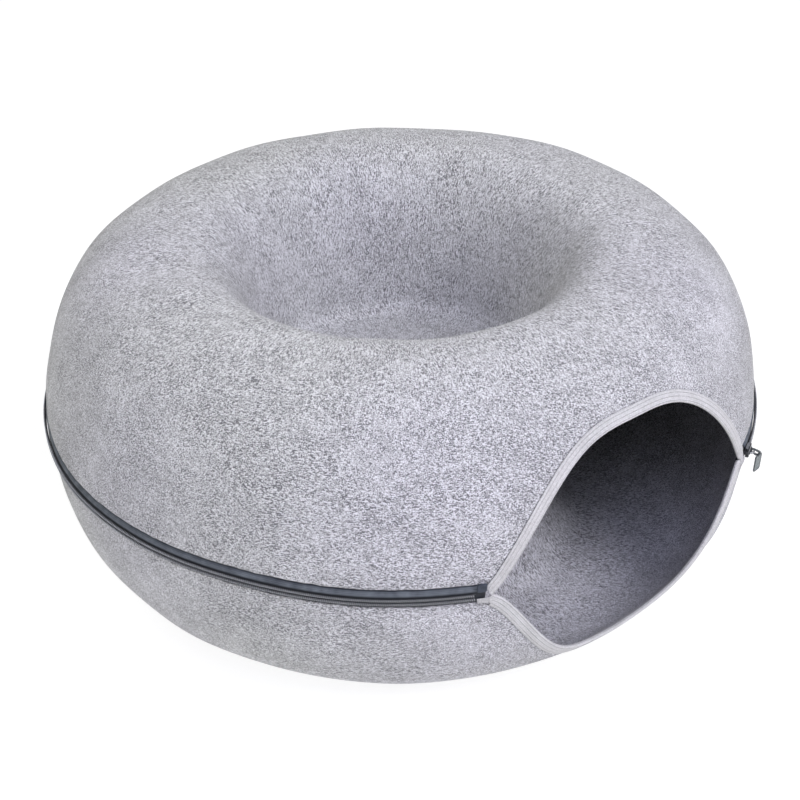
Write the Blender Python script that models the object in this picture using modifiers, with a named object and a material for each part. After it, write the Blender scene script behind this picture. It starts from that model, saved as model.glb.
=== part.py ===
"""Felt tunnel bed for a cat: two moulded felt half rings that zip together round the outside.

Units are metres and +Z is up. The origin is the middle of the base, on the ring's axis.
The entrance faces the corner between +X and -Y, so that the ring fills its box on all sides.
"""
import math
from collections import namedtuple

import bmesh
import bpy
import numpy as np
from mathutils import Matrix, Vector

# Driving sizes of the bed
RING_RADIUS = 0.300
FELT = 0.003
SEAM_HEIGHT = 0.1423
ZIP_HEIGHT = 0.1445
ENTRANCE_TURN = math.radians(45.0)
ENTRANCE_HALF_ANGLE = math.radians(26.4)
HOLE_RADIUS = 0.121
HOLE_ROLL = 0.95
HOLE_DROP = 0.70
FLOOR_FILLET = 0.012
CROWN_BAND_OUTSIDE = 0.026
CROWN_BAND_INSIDE = 0.009

# Clearances between neighbouring pieces
GAP = 0.0003
CLOTH_GAP = 0.0007
CUT_EDGE_GAP = 0.0011
INSIDE_GAP = 0.0013

# Binding round the two arches of the entrance
BINDING = 0.001
BINDING_WIDTH = 0.0082
BINDING_ROUNDING = 0.001
BINDING_SLOPE = 0.0013
BINDING_REACH = 0.985

# Zip: two woven tapes, a nylon coil along each, one slider and its pull
TAPE = 0.001
TAPE_BEHIND_FELT = 0.010
TAPE_FACE_RADIUS = 0.3005
TAPE_FLAT = 0.0046
TAPE_TUCK = 0.0006
TAPE_END = math.radians(27.1)
COIL_RADIUS = 0.0012
COIL_SPACING = 0.0030
COIL_FAR_END = math.radians(28.6)
SLIDER_TURN = math.radians(28.8)
SLIDER_LENGTH = 0.011
SLIDER_HEIGHT = 0.0086
SLIDER_PLATE = 0.0012
SLIDER_REAR_HALF = 0.0034
SLIDER_POST = 0.0022
SLIDER_POST_HALF = 0.0017
SLIDER_RAIL = 0.0010
SLIDER_REAR_GAP = 0.0008
BAIL_RADIUS = 0.0007
BAIL_LENGTH = 0.0066
BAIL_RISE = 0.0034
BAIL_STEPS = 8
LINK_HALF_WIDTH = 0.0007
LINK_HALF_HEIGHT = 0.0020
LINK_RIM = 0.0008
LINK_LENGTH = 0.0064
LINK_TILT = math.radians(-20.0)
PULL_LENGTH = 0.0165
PULL_HALF_WIDTH = 0.0046
PULL_THICKNESS = 0.0012
PULL_TURN = math.radians(-20.0)
PULL_LEAN = math.radians(3.0)

# How finely the cloth is divided
ENTRANCE_COLUMNS = 20
RING_COLUMNS = 38
BINDING_COLUMNS = 32
WALL_SHARES = (0.0, 0.08, 0.23, 0.39, 0.55, 0.70, 0.85)
CROWN_ROWS = 1
HOLE_ROWS = 5
FILLET_ROWS = 2
FLOOR_ROWS = 2
PROFILE_POINTS = 200
MERGE = 0.00001
WALL_STEP = 0.001
SHARE_STEP = 0.0005

Shell = namedtuple(
    "Shell",
    "name side widest_radius widest_height crown_radius crown_height fullness "
    "floor_height edge_height arch_rise arch_fullness arch_flare",
)
UPPER = Shell("upper", 1, 0.3000, 0.1311, 0.1860, 0.2830, 2.41, 0.1418, 0.1535, 0.103, 2.944, 1.383)
LOWER = Shell("lower", -1, 0.2992, 0.1535, 0.1690, -0.0015, 2.44, 0.1355, 0.1376, 0.1077, 3.059, 1.865)


def clear_scene():
    """Remove whatever the opened scene holds."""
    for thing in list(bpy.data.objects):
        bpy.data.objects.remove(thing, do_unlink=True)


def new_collection(name):
    """A collection linked to the scene."""
    collection = bpy.data.collections.new(name)
    bpy.context.scene.collection.children.link(collection)
    return collection


def new_material(name, colour, roughness, metallic=0.0):
    """A Principled material of one colour."""
    material = bpy.data.materials.new(name)
    material.use_nodes = True
    shader = material.node_tree.nodes["Principled BSDF"]
    shader.inputs["Base Color"].default_value = (*colour, 1.0)
    shader.inputs["Roughness"].default_value = roughness
    shader.inputs["Metallic"].default_value = metallic
    return material


def shell_profile(shell):
    """Radius, height and distance along the felt, from the seam line to the middle of the floor."""
    power = 2.0 / shell.fullness
    wall_height = shell.crown_height - shell.widest_height
    start = math.asin(((SEAM_HEIGHT - shell.widest_height) / wall_height) ** (1.0 / power))
    turn = np.linspace(start, math.pi / 2, PROFILE_POINTS)
    wall_radius = shell.crown_radius
    wall_radius = wall_radius + (shell.widest_radius - wall_radius) * np.cos(turn).clip(0) ** power
    wall_rise = shell.widest_height + wall_height * np.sin(turn) ** power

    fillet_top = shell.floor_height + shell.side * FLOOR_FILLET
    turn = np.linspace(0.0, math.pi / 2, PROFILE_POINTS)
    hole_radius = shell.crown_radius - (shell.crown_radius - HOLE_RADIUS) * np.sin(turn) ** HOLE_ROLL
    drop = 1.0 - np.cos(turn).clip(0) ** HOLE_DROP
    hole_rise = shell.crown_height - (shell.crown_height - fillet_top) * drop

    fillet_radius = HOLE_RADIUS - FLOOR_FILLET * (1.0 - np.cos(turn))
    fillet_rise = fillet_top - shell.side * FLOOR_FILLET * np.sin(turn)
    radius = np.concatenate([wall_radius, hole_radius, fillet_radius, [0.0]])
    height = np.concatenate([wall_rise, hole_rise, fillet_rise, [shell.floor_height]])
    height = height.clip(0.0)
    steps = np.hypot(np.diff(radius), np.diff(height))
    along = np.concatenate([[0.0], np.cumsum(steps)])
    crown, fillet_start, fillet_end = [along[PROFILE_POINTS * part - 1] for part in (1, 2, 3)]
    crown_band = [crown - CROWN_BAND_OUTSIDE, crown + CROWN_BAND_INSIDE]
    return radius, height, along, crown_band + [fillet_start, fillet_end, along[-1]]


def distance_at_height(shell, height):
    """Distance along the outer wall from the seam line to a height."""
    _, heights, along, joins = shell_profile(shell)
    wall = along <= joins[0]
    return float(np.interp(shell.side * height, shell.side * heights[wall], along[wall]))


def wall_point(profile, side, turn, distance, lift=0.0):
    """A point on the ring, lifted off the felt's exposed face."""
    radii, heights, along, _ = profile
    near = max(distance - WALL_STEP, 0.0)
    far = min(distance + WALL_STEP, along[-1])
    run = np.interp(far, along, radii) - np.interp(near, along, radii)
    climb = np.interp(far, along, heights) - np.interp(near, along, heights)
    length = math.hypot(run, climb)
    radius = np.interp(distance, along, radii) + lift * side * climb / length
    height = np.interp(distance, along, heights) - lift * side * run / length
    return ring_point(turn, radius, height)


def ring_point(turn, radius, height):
    """A point at an angle from the middle of the entrance."""
    angle = ENTRANCE_TURN + turn
    return (radius * math.sin(angle), -radius * math.cos(angle), height)


def arch_distance(shell, turn):
    """How far from the seam line the entrance is cut into a shell: (1 - u^fullness)^flare."""
    share = min(abs(turn) / ENTRANCE_HALF_ANGLE, 1.0)
    corner = BINDING + CUT_EDGE_GAP + GAP
    return corner + shell.arch_rise * (1.0 - share**shell.arch_fullness) ** shell.arch_flare


def mapped_sheet(name, columns, rows, place, thickness, material):
    """A grid laid by place(column, row) and thickened behind its face."""
    across = len(columns) - 1
    up = len(rows) - 1
    grid = bmesh.new()
    bmesh.ops.create_grid(grid, x_segments=across, y_segments=up, size=0.5)
    for vertex in grid.verts:
        column = columns[round((vertex.co.x + 0.5) * across)]
        row = rows[round((vertex.co.y + 0.5) * up)]
        vertex.co = place(column, row)
    bmesh.ops.remove_doubles(grid, verts=grid.verts, dist=MERGE)
    sheet = new_object(name, grid, material)
    solid = sheet.modifiers.new("thickness", "SOLIDIFY")
    solid.thickness = thickness
    solid.offset = -1.0
    solid.use_even_offset = True
    solid.use_quality_normals = True
    return sheet


def new_object(name, shape, material):
    """An object in the bed's collection, made from a bmesh."""
    mesh = bpy.data.meshes.new(name)
    shape.to_mesh(mesh)
    shape.free()
    mesh.materials.append(material)
    mesh.shade_smooth()
    piece = bpy.data.objects.new(name, mesh)
    bed.objects.link(piece)
    return piece


def spread(start, end, count):
    """Evenly spaced values, both ends included."""
    return [start + (end - start) * step / count for step in range(count + 1)]


def entrance_columns():
    """Angles across the entrance, closest together at its corners."""
    steps = spread(-math.pi / 2, math.pi / 2, ENTRANCE_COLUMNS)
    return [ENTRANCE_HALF_ANGLE * math.sin(step) for step in steps]


def ring_columns():
    """Angles round the closed part of the ring, with one at each end of the zip's pieces."""
    half = SLIDER_LENGTH / RING_RADIUS / 2
    zip_start = SLIDER_TURN - half + (SLIDER_POST + GAP) / RING_RADIUS
    coil_end = 2 * math.pi - COIL_FAR_END
    middle = spread(SLIDER_TURN + half + GAP / RING_RADIUS, coil_end, RING_COLUMNS)
    ends = [2 * math.pi - TAPE_END, 2 * math.pi - ENTRANCE_HALF_ANGLE]
    return [ENTRANCE_HALF_ANGLE, zip_start] + middle + ends


def felt_shell(shell, material):
    """One moulded half: outer wall with its arch, crown, hole wall and floor disc."""
    profile = shell_profile(shell)
    joins = profile[3]
    edge = distance_at_height(shell, shell.edge_height)

    def place(turn, row):
        part = min(int(row), 4)
        if turn > ENTRANCE_HALF_ANGLE:
            cut = edge
        else:
            cut = max(edge, arch_distance(shell, turn))
        starts = [cut] + joins
        distance = starts[part] + (starts[part + 1] - starts[part]) * (row - part)
        return wall_point(profile, shell.side, turn, distance)

    columns = entrance_columns() + ring_columns()[1:]
    rows = list(WALL_SHARES)
    for part, count in ((1, CROWN_ROWS), (2, HOLE_ROWS), (3, FILLET_ROWS), (4, FLOOR_ROWS)):
        rows += spread(part, part + 1, count)[:-1]
    rows.append(5)
    return mapped_sheet(f"{shell.name}_shell", columns[:: shell.side], rows, place, FELT, material)


def binding_strip(shell, material):
    """The knitted strip folded over the cut edge of an arch."""
    profile = shell_profile(shell)
    outside = CLOTH_GAP + BINDING
    inside = -FELT - INSIDE_GAP - BINDING
    front = -CUT_EDGE_GAP - BINDING
    fold = [
        (BINDING_WIDTH, outside),
        (front + BINDING_SLOPE, outside),
        (front, outside - BINDING_ROUNDING),
        (front, inside + BINDING_ROUNDING),
        (front + BINDING_SLOPE, inside),
        (BINDING_WIDTH, inside),
    ]

    def edge_place(share):
        turn = ENTRANCE_HALF_ANGLE * share
        distance = arch_distance(shell, turn)
        return turn, distance, float(np.interp(distance, profile[2], profile[0]))

    def place(share, corner):
        turn, distance, radius = edge_place(share)
        before = edge_place(share - SHARE_STEP)
        after = edge_place(share + SHARE_STEP)
        run = (after[0] - before[0]) * radius
        climb = after[1] - before[1]
        length = math.hypot(run, climb)
        back, lift = fold[corner]
        turn -= back * climb / length / radius
        distance += back * run / length
        return wall_point(profile, shell.side, turn, max(distance, 0.0), lift)

    steps = spread(-math.pi / 2, math.pi / 2, BINDING_COLUMNS)
    shares = [BINDING_REACH * math.sin(step) for step in steps]
    corners = list(range(len(fold)))[::-1]
    return mapped_sheet(
        f"{shell.name}_binding", shares[:: shell.side], corners, place, BINDING, material
    )


def behind_felt(shell, height):
    """Radius just behind the felt's inner face at a height on the outer wall."""
    profile = shell_profile(shell)
    felt_radius = np.interp(distance_at_height(shell, height), profile[2], profile[0])
    return float(felt_radius) - FELT - CLOTH_GAP


def zip_tape(shell, material):
    """A woven tape: flat beside its coil, then bent in to pass behind the felt's edge."""
    tuck = shell.edge_height - shell.side * TAPE_TUCK
    far = shell.edge_height + shell.side * TAPE_BEHIND_FELT
    section = [
        (ZIP_HEIGHT + shell.side * GAP / 2, TAPE_FACE_RADIUS),
        (ZIP_HEIGHT + shell.side * TAPE_FLAT, TAPE_FACE_RADIUS),
        (tuck, behind_felt(shell, shell.edge_height)),
        (far, behind_felt(shell, far)),
    ]

    def place(turn, row):
        height, radius = section[row]
        return ring_point(turn, radius, height)

    columns = ring_columns()[1:-1]
    rows = list(range(len(section)))
    return mapped_sheet(f"{shell.name}_tape", columns[:: shell.side], rows, place, TAPE, material)


def zip_coil(shell, material):
    """One side of the nylon coil, as a plain round bead along its tape."""
    turns = ring_columns()[1:-2]
    height = ZIP_HEIGHT + shell.side * COIL_SPACING / 2
    radius = TAPE_FACE_RADIUS + GAP + COIL_RADIUS
    points = [ring_point(turn, radius, height) for turn in turns]
    bead = tube(f"{shell.name}_coil", points, COIL_RADIUS)
    bead.data.materials.append(material)
    return bead


def tube(name, points, radius):
    """A mesh tube with closed ends along a list of points."""
    curve = bpy.data.curves.new(name, "CURVE")
    curve.dimensions = "3D"
    curve.bevel_depth = radius
    curve.bevel_resolution = 2
    curve.use_fill_caps = True
    line = curve.splines.new("POLY")
    line.points.add(len(points) - 1)
    for point, place in zip(line.points, points):
        point.co = (*place, 1.0)
    guide = bpy.data.objects.new(name + "_guide", curve)
    bed.objects.link(guide)
    bpy.context.view_layer.update()
    seen = guide.evaluated_get(bpy.context.evaluated_depsgraph_get())
    mesh = bpy.data.meshes.new_from_object(seen)
    bpy.data.objects.remove(guide, do_unlink=True)
    shape = bmesh.new()
    shape.from_mesh(mesh)
    bmesh.ops.remove_doubles(shape, verts=shape.verts, dist=MERGE)
    bmesh.ops.recalc_face_normals(shape, faces=shape.faces)
    shape.to_mesh(mesh)
    shape.free()
    mesh.materials.clear()
    mesh.shade_smooth()
    piece = bpy.data.objects.new(name, mesh)
    bed.objects.link(piece)
    return piece


def block(name, low, high, collection):
    """A box between two corners: along the zip, out from the axis, and up from the zip line."""
    shape = bmesh.new()
    bmesh.ops.create_cube(shape, size=1.0)
    for vertex in shape.verts:
        along, out, up = [
            (low[axis] + high[axis]) / 2 + vertex.co[axis] * (high[axis] - low[axis])
            for axis in range(3)
        ]
        vertex.co = (along, -out, up)
    bmesh.ops.recalc_face_normals(shape, faces=shape.faces)
    mesh = bpy.data.meshes.new(name)
    shape.to_mesh(mesh)
    shape.free()
    piece = bpy.data.objects.new(name, mesh)
    collection.objects.link(piece)
    return piece


def join(target, other, operation):
    """Add another piece to a target, or cut it away, and keep it as a hidden guide."""
    change = target.modifiers.new(other.name, "BOOLEAN")
    change.operation = operation
    change.solver = "EXACT"
    change.object = other
    if other.name in bed.objects:
        bed.objects.unlink(other)
        cutters.objects.link(other)
    other.hide_render = True
    other.display_type = "WIRE"


def stand_at_slider(piece):
    """Turn a piece modelled in front of the axis round to the slider's place on the zip."""
    piece.location = (0.0, 0.0, ZIP_HEIGHT)
    piece.rotation_euler = (0.0, 0.0, ENTRANCE_TURN + SLIDER_TURN)


def zip_slider(material):
    """Two plates held apart by a post at the nose, rails beside the coil, and a bail on top."""
    half = SLIDER_LENGTH / 2
    tall = SLIDER_HEIGHT / 2
    coil_top = TAPE_FACE_RADIUS + GAP + 2 * COIL_RADIUS + GAP
    back = TAPE_FACE_RADIUS - TAPE - SLIDER_REAR_GAP
    front = coil_top + SLIDER_PLATE
    rail = tall - SLIDER_RAIL
    nose = -half + SLIDER_POST
    body = block("slider_body", (-half, coil_top, -tall), (half, front, tall), bed)
    body.data.materials.append(material)
    low = (-half, back - SLIDER_PLATE, -SLIDER_REAR_HALF)
    rear = block("slider_rear", low, (half, back, SLIDER_REAR_HALF), cutters)
    inside = coil_top + SLIDER_PLATE / 2
    low = (-half, back - SLIDER_PLATE / 2, -SLIDER_POST_HALF)
    post = block("slider_post", low, (nose, inside, SLIDER_POST_HALF), cutters)
    low = (nose, TAPE_FACE_RADIUS + GAP, rail)
    top_rail = block("slider_top_rail", low, (half, inside, tall), cutters)
    low = (nose, TAPE_FACE_RADIUS + GAP, -tall)
    low_rail = block("slider_low_rail", low, (half, inside, -rail), cutters)
    bail_half = BAIL_LENGTH / 2
    foot = front - SLIDER_PLATE / 2
    arch = [(-bail_half, -foot, 0.0)]
    for angle in spread(math.pi, 0.0, BAIL_STEPS):
        arch.append((bail_half * math.cos(angle), -front - BAIL_RISE * math.sin(angle), 0.0))
    arch.append((bail_half, -foot, 0.0))
    bail = tube("slider_bail", arch, BAIL_RADIUS)
    for piece in (post, rear, top_rail, low_rail, bail):
        stand_at_slider(piece)
        join(body, piece, "UNION")
    stand_at_slider(body)
    return body


def zip_pull(material):
    """A link threaded on the bail, sloping down, and a plain flat tab that hangs from it."""
    front = TAPE_FACE_RADIUS + 2 * GAP + 2 * COIL_RADIUS + SLIDER_PLATE
    bail_out = front + BAIL_RISE
    room = BAIL_RADIUS + CLOTH_GAP
    near = bail_out - room - LINK_RIM
    far = near + LINK_LENGTH
    wide = LINK_HALF_WIDTH
    tall = LINK_HALF_HEIGHT
    pull = block("slider_pull", (-wide, near, -tall), (wide, far, tall), bed)
    pull.data.materials.append(material)
    low = (-2 * wide, near + LINK_RIM, LINK_RIM - tall)
    hole = block("pull_hole", low, (2 * wide, far - 2 * LINK_RIM, tall - LINK_RIM), cutters)
    half = PULL_HALF_WIDTH
    thick = PULL_THICKNESS / 2
    tab = block("pull_tab", (-half, -thick, -PULL_LENGTH), (half, thick, 0.0), cutters)
    slope = Matrix.Translation((0.0, -bail_out, 0.0)) @ Matrix.Rotation(-LINK_TILT, 4, "X")
    slope = slope @ Matrix.Translation((0.0, bail_out, 0.0))
    end = slope @ Vector((0.0, thick - far, 0.0))
    hang = Matrix.Rotation(PULL_TURN, 4, "Z") @ Matrix.Rotation(PULL_LEAN, 4, "X")
    for piece, place in ((pull, slope), (hole, slope), (tab, Matrix.Translation(end) @ hang)):
        piece.data.transform(place)
        stand_at_slider(piece)
    join(pull, hole, "DIFFERENCE")
    join(pull, tab, "UNION")
    return pull


def build():
    """Make every piece of the bed."""
    for shell in (UPPER, LOWER):
        felt_shell(shell, new_material(f"{shell.name}_felt", (0.50, 0.50, 0.53), 0.95))
        binding_strip(shell, new_material(f"{shell.name}_knit", (0.68, 0.66, 0.66), 0.9))
        zip_tape(shell, new_material(f"{shell.name}_weave", (0.10, 0.12, 0.16), 0.8))
        zip_coil(shell, new_material(f"{shell.name}_nylon", (0.12, 0.13, 0.16), 0.4))
    zip_slider(new_material("slider_metal", (0.18, 0.19, 0.21), 0.35, 0.9))
    zip_pull(new_material("pull_metal", (0.55, 0.57, 0.58), 0.25, 1.0))


clear_scene()
bed = new_collection("felt_tunnel_bed")
cutters = new_collection("cutters")
build()
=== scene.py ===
# Felt tunnel bed for a cat: its finish and soft pieces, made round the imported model.
# Metres, +Z up, the middle of the base at the origin. Angles round the bed are measured
# from the middle of the entrance, which faces the corner between +X and -Y.
import math

import bmesh
import bpy
import numpy as np
from mathutils import Matrix, Vector


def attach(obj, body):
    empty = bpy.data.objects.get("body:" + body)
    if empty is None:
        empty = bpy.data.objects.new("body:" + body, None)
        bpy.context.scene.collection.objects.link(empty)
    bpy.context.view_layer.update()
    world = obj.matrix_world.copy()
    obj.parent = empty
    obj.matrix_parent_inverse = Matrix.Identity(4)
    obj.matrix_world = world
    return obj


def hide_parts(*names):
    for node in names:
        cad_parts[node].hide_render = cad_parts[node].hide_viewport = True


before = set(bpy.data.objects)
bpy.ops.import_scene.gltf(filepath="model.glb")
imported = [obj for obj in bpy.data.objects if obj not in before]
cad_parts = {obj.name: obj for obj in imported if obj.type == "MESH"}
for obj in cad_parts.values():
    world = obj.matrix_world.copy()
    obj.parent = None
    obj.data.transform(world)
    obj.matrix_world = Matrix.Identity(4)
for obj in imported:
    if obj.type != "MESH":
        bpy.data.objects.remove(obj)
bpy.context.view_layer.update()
print("frame loaded with", len(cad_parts), "nodes")

# The bed's own sizes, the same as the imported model's
bedShape = {
    "ringRadius": 0.300,
    "seamHeight": 0.1423,
    "zipHeight": 0.1445,
    "entranceTurn": math.radians(45.0),
    "entranceHalf": math.radians(26.4),
    "holeRadius": 0.121,
    "holeRoll": 0.95,
    "holeDrop": 0.70,
    "floorFillet": 0.012,
    "felt": 0.003,
    # the entrance's cut edge starts this far above the seam, and a little less at its corners
    "archFoot": 0.0024,
    "archFootDrop": 0.0010,
    # size, turns round the bed and phase of each wave of the zip
    "zipWaves": ((0.0010, 6, 7.02), (0.0003, 13, 1.1)),
}
shells = {
    "upper": {
        "side": 1, "widestRadius": 0.3000, "widestHeight": 0.1311,
        "crownRadius": 0.1860, "crownHeight": 0.2830, "fullness": 2.41,
        "floorHeight": 0.1418, "edgeHeight": 0.1535,
        "archRise": 0.103, "archFullness": 2.944, "archFlare": 1.383,
    },
    "lower": {
        "side": -1, "widestRadius": 0.2992, "widestHeight": 0.1535,
        "crownRadius": 0.1690, "crownHeight": -0.0015, "fullness": 2.44,
        "floorHeight": 0.1355, "edgeHeight": 0.1376,
        "archRise": 0.1077, "archFullness": 3.059, "archFlare": 1.865,
    },
}


def stacked(*parts):
    # coordinates side by side in a last axis, spread to one shape
    return np.stack(np.broadcast_arrays(*parts), axis=-1)


def unit(vectors):
    # the same directions, each of length one
    return vectors / np.linalg.norm(vectors, axis=-1, keepdims=True)


def girthOf(line):
    # distance along a flat line from its first point
    return np.concatenate([[0.0], np.cumsum(np.hypot(*np.diff(line, axis=0).T))])


def eased(share):
    # 0 to 1 with a soft start and a soft end
    return share * share * (3 - 2 * share)


def fadeIn(values, start, band):
    # 0 up to a start, then evenly up to 1 over a band
    return np.clip((values - start) / band, 0, 1)


def signedPower(wave, power):
    # a power that keeps the sign: under 1 it squares off a circle's sine and cosine
    return np.sign(wave) * np.abs(wave) ** power


def rescaled(values, low, high):
    # the same values stretched to run from low to high
    return low + (values - values.min()) / (values.max() - values.min()) * (high - low)


def superQuarter(turn, fullness):
    # one quarter of a superellipse: cosine and sine raised to 2 / fullness
    power = 2.0 / fullness
    return np.cos(turn).clip(0) ** power, np.sin(turn).clip(0) ** power


def feltProfile(shell, points=400):
    # section of one half from the seam line to the middle of the floor: a superellipse wall up
    # to the crown, the hole's wall (sine to one power across, cosine to another down), a round
    # fillet and the flat floor
    side, fillet = shell["side"], bedShape["floorFillet"]
    rise = shell["crownHeight"] - shell["widestHeight"]
    startShare = (bedShape["seamHeight"] - shell["widestHeight"]) / rise
    start = math.asin(startShare ** (shell["fullness"] / 2))
    across, up = superQuarter(np.linspace(start, math.pi / 2, points), shell["fullness"])
    wallRadius = shell["crownRadius"] + (shell["widestRadius"] - shell["crownRadius"]) * across
    wallHeight = shell["widestHeight"] + rise * up

    filletTop = shell["floorHeight"] + side * fillet
    turn = np.linspace(0, math.pi / 2, points)
    inwards = np.sin(turn) ** bedShape["holeRoll"]
    holeRadius = shell["crownRadius"] - (shell["crownRadius"] - bedShape["holeRadius"]) * inwards
    drop = 1 - np.cos(turn).clip(0) ** bedShape["holeDrop"]
    holeHeight = shell["crownHeight"] - (shell["crownHeight"] - filletTop) * drop
    filletRadius = bedShape["holeRadius"] - fillet * (1 - np.cos(turn))
    filletHeight = filletTop - side * fillet * np.sin(turn)

    radius = np.concatenate([wallRadius, holeRadius, filletRadius, [0.0]])
    height = np.concatenate([wallHeight, holeHeight, filletHeight, [shell["floorHeight"]]])
    height = height.clip(0)
    along = girthOf(stacked(radius, height))
    crown, filletStart, filletEnd = (along[points * part - 1] for part in (1, 2, 3))
    edge = np.interp(side * shell["edgeHeight"], side * height[:points], along[:points])
    return {
        "side": side, "radius": radius, "height": height, "along": along, "edge": edge,
        "crown": crown, "filletStart": filletStart, "filletEnd": filletEnd, "end": along[-1],
        "wall": slice(0, points),
    }


def ringPoints(turn, radius, height):
    # cylinder coordinates about the bed's axis, the angle measured from the entrance
    angle = bedShape["entranceTurn"] + turn
    return stacked(radius * np.sin(angle), -radius * np.cos(angle), height)


def profileAt(profile, distance):
    # radius and height at a distance along the felt
    return [np.interp(distance, profile["along"], profile[key]) for key in ("radius", "height")]


def feltPoints(profile, turn, distance, lift=0.0):
    # a point at an angle and a distance along the felt, lifted along the felt's normal
    step = 0.001
    nearRadius, nearHeight = profileAt(profile, np.maximum(distance - step, 0.0))
    farRadius, farHeight = profileAt(profile, np.minimum(distance + step, profile["end"]))
    run, climb = farRadius - nearRadius, farHeight - nearHeight
    length = np.hypot(run, climb)
    radius, height = profileAt(profile, distance)
    radius = radius + lift * profile["side"] * climb / length
    height = height - lift * profile["side"] * run / length
    return ringPoints(turn, radius, height)


def archDistance(shell, turn):
    # distance of the entrance's cut edge from the seam line: (1 - u^fullness)^flare
    share = np.minimum(np.abs(turn) / bedShape["entranceHalf"], 1.0)
    rise = (1.0 - share ** shell["archFullness"]) ** shell["archFlare"]
    foot = bedShape["archFoot"] - bedShape["archFootDrop"] * share ** 8
    return foot + shell["archRise"] * rise


def zipWave(turn):
    # the zip and the felt's edges beside it rise and fall a little on their way round the bed
    return sum(size * np.cos(around * turn + phase) for size, around, phase in bedShape["zipWaves"])


def setMap(mesh, places):
    # the mesh's own map in metres, one place for each point
    layer = mesh.uv_layers.new(name="surface")
    corner = np.empty(len(mesh.loops), dtype=np.int32)
    mesh.loops.foreach_get("vertex_index", corner)
    layer.data.foreach_set("uv", places.reshape(-1, 2)[corner].astype(np.float32).ravel())


def gridMesh(name, points, wrapRows=False, wrapColumns=False, uv=None):
    # a mesh over a grid of points, rows by columns, closed across either way if asked
    rows, columns = points.shape[:2]
    index = np.arange(rows * columns).reshape(rows, columns)
    if wrapRows:
        index = np.vstack([index, index[:1]])
    if wrapColumns:
        index = np.hstack([index, index[:, :1]])
    quads = np.stack([index[:-1, :-1], index[:-1, 1:], index[1:, 1:], index[1:, :-1]], axis=-1)
    quads = quads.reshape(-1, 4)
    mesh = bpy.data.meshes.new(name)
    mesh.from_pydata(points.reshape(-1, 3).tolist(), [], quads.tolist())
    if uv is not None:
        setMap(mesh, uv)
    return mesh


def setAttribute(mesh, name, values):
    # a number for each point, or one for all of them, which the piece's material reads
    layer = mesh.attributes.new(name, "FLOAT", "POINT")
    values = np.broadcast_to(values, len(mesh.vertices)).astype(np.float32)
    layer.data.foreach_set("value", values)


def addObject(name, data):
    # a new object in the scene
    made = bpy.data.objects.new(name, data)
    bpy.context.scene.collection.objects.link(made)
    return made


def finishMesh(name, mesh, material, close=True):
    # doubles merged so that seams and poles close, faces turned outwards, shaded smooth
    shape = bmesh.new()
    shape.from_mesh(mesh)
    if close:
        bmesh.ops.remove_doubles(shape, verts=shape.verts, dist=0.000002)
    bmesh.ops.recalc_face_normals(shape, faces=shape.faces)
    shape.to_mesh(mesh)
    shape.free()
    mesh.shade_smooth()
    mesh.materials.append(material)
    return addObject(name, mesh)


def install(piece, slot, *nodes):
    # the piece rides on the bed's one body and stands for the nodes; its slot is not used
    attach(piece, "root")
    if nodes:
        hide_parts(*nodes)
    return piece


def newFinish(name):
    # a material with one Principled shader
    material = bpy.data.materials.new(name)
    material.use_nodes = True
    tree = material.node_tree
    return material, tree, tree.nodes["Principled BSDF"]


def setInputs(tree, node, inputs):
    # numbers, colours or links into a node's inputs
    for key, value in inputs.items():
        if isinstance(value, bpy.types.NodeSocket):
            tree.links.new(value, node.inputs[key])
        else:
            node.inputs[key].default_value = value


def addNode(tree, kind, inputs=None, **settings):
    # a shader node with its settings, and its inputs as numbers or links
    made = tree.nodes.new("ShaderNode" + kind)
    for key, value in settings.items():
        setattr(made, key, value)
    setInputs(tree, made, inputs or {})
    return made


def maths(tree, operation, first, second=0.0, clamp=False):
    # one Math node
    inputs = {0: first, 1: second}
    return addNode(tree, "Math", inputs, operation=operation, use_clamp=clamp).outputs[0]


def times(tree, first, second, clamp=False):
    # one Math node that multiplies
    return maths(tree, "MULTIPLY", first, second, clamp)


def vectorMaths(tree, operation, inputs):
    # one Vector Math node, whose fourth input is the number of SCALE
    return addNode(tree, "VectorMath", inputs, operation=operation).outputs[0]


def noise(tree, place, scale, detail=2.0, roughness=0.5, output="Fac"):
    # one Noise Texture
    inputs = {"Vector": place, "Scale": scale, "Detail": detail, "Roughness": roughness}
    return addNode(tree, "TexNoise", inputs).outputs[output]


def ramp(tree, value, low, high, start=0.0, end=1.0):
    # a straight ramp between two values, clamped
    inputs = {"Value": value, "From Min": low, "From Max": high, "To Min": start, "To Max": end}
    return addNode(tree, "MapRange", inputs, clamp=True).outputs[0]


def weightedSum(tree, parts):
    # each value times its weight, added up
    total = 0.0
    for value, weight in parts:
        total = maths(tree, "ADD", total, times(tree, value, weight))
    return total


def centred(tree, value):
    # a noise value moved down so that it swings about zero
    return maths(tree, "SUBTRACT", value, 0.5)


def bump(tree, distance, height, strength=1.0):
    # one Bump node
    inputs = {"Strength": strength, "Distance": distance, "Height": height}
    return addNode(tree, "Bump", inputs).outputs[0]


def pointValue(tree, name):
    # a number that the mesh holds for each point
    return addNode(tree, "Attribute", None, attribute_name=name).outputs["Fac"]


def mapParts(tree):
    # along and across on the mesh's own map, in metres
    surface = addNode(tree, "UVMap", None, uv_map="surface").outputs[0]
    parts = addNode(tree, "SeparateXYZ", {0: surface}).outputs
    return parts[0], parts[1]


def blendColours(tree, factor, first, second, mode="MIX"):
    # one Mix node for colours, whose colour inputs are its seventh and eighth
    inputs = {0: factor, 6: first, 7: second}
    return addNode(tree, "Mix", inputs, data_type="RGBA", blend_type=mode).outputs[2]


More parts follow.
